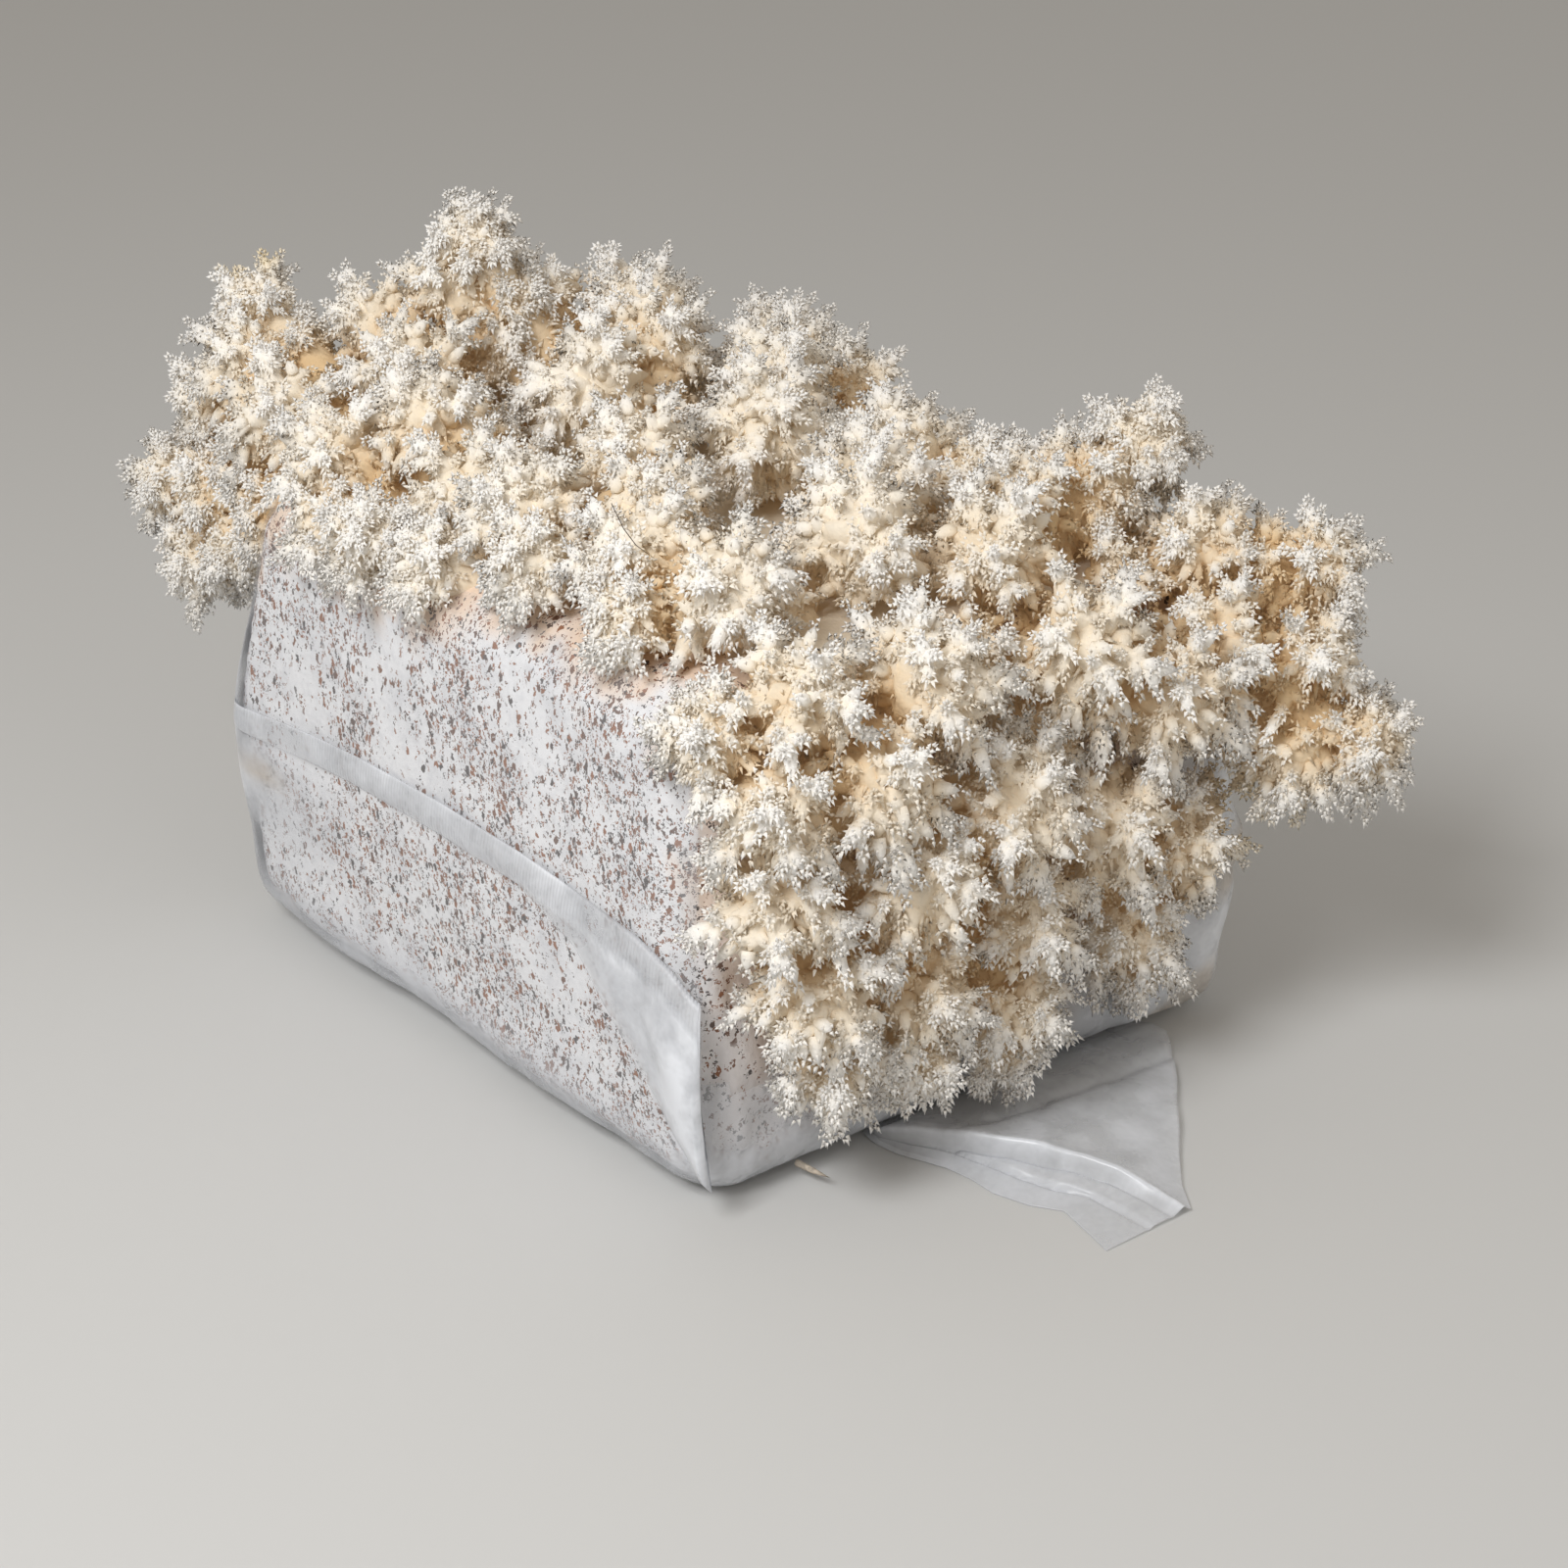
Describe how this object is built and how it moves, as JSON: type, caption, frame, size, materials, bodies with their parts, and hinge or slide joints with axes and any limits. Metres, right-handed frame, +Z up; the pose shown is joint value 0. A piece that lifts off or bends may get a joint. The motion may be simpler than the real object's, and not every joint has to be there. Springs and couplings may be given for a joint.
{
  "type": "mushroom grow kit",
  "caption": "Bagged block of colonised sawdust with coral-toothed lions mane mushroom draped over its top and ends; the loose mouth of the bag is folded under.",
  "frame": {"origin": "middle of the bag's flat bottom, on the surface it stands on", "axes": "+X along the block to the end the mushroom drapes over and the bag's mouth lies out from, +Y away from the face with the sealed seam, +Z up"},
  "size_m": [0.3275, 0.1872, 0.1886],
  "materials": {
    "substrate": "matt, white mycelium over brown sawdust flecks",
    "film": "thin clear film, milky and wrinkled",
    "mushroom": "soft and matt, near white tips over cream branches"
  },
  "bodies": {
    "root": {"substrate_block": "substrate", "grow_bag": "film", "left_drape": "mushroom", "left_shoulder": "mushroom", "left_back_drape": "mushroom", "left_crest": "mushroom", "left_peak": "mushroom", "back_left_low": "mushroom", "back_left_high": "mushroom", "back_corner": "mushroom", "front_left_hang": "mushroom", "front_left_top": "mushroom", "middle_left": "mushroom", "front_middle": "mushroom", "centre": "mushroom", "centre_high": "mushroom", "centre_back": "mushroom", "back_middle": "mushroom", "right_peak": "mushroom", "front_right_top": "mushroom", "ridge_right": "mushroom", "right_corner": "mushroom", "right_overhang": "mushroom", "end_top_near": "mushroom", "end_top_middle": "mushroom", "end_top_far": "mushroom", "end_low_near": "mushroom", "end_middle": "mushroom", "end_low_middle": "mushroom", "end_low_far": "mushroom"}
  },
  "joints": []
}
